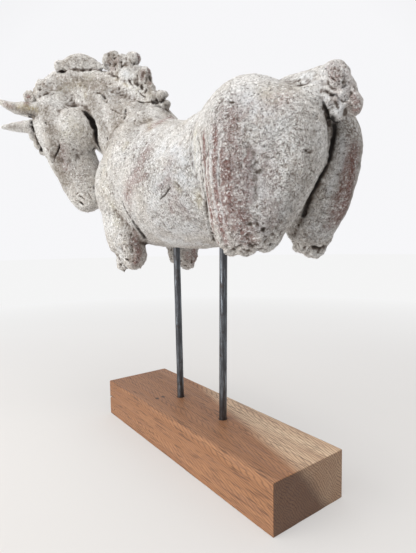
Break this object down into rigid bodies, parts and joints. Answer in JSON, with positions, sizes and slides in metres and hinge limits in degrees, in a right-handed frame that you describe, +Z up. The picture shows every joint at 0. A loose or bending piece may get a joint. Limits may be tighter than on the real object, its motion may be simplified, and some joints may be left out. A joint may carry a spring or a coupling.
{
  "type": "horse sculpture",
  "caption": "Fired clay horse torso with turned neck and broken-off legs, held over an oak block by round steel rods; stands on the block as a shelf or table sculpture.",
  "frame": {"origin": "centre of the oak block's underside", "axes": "+X along the block towards the horse's rump, so the horse faces -X; +Y to the horse's right; +Z up"},
  "size_m": [0.4512, 0.2194, 0.4762],
  "materials": {
    "fired_clay": "unglazed, rough grey-white slip with red-brown oxide in the recesses",
    "blackened_steel": "dark mill scale, satin",
    "oiled_oak": "oiled, open grain"
  },
  "bodies": {
    "root": {"horse": "fired_clay", "front_rod": "blackened_steel", "rear_rod": "blackened_steel", "oak_block": "oiled_oak"}
  },
  "joints": []
}
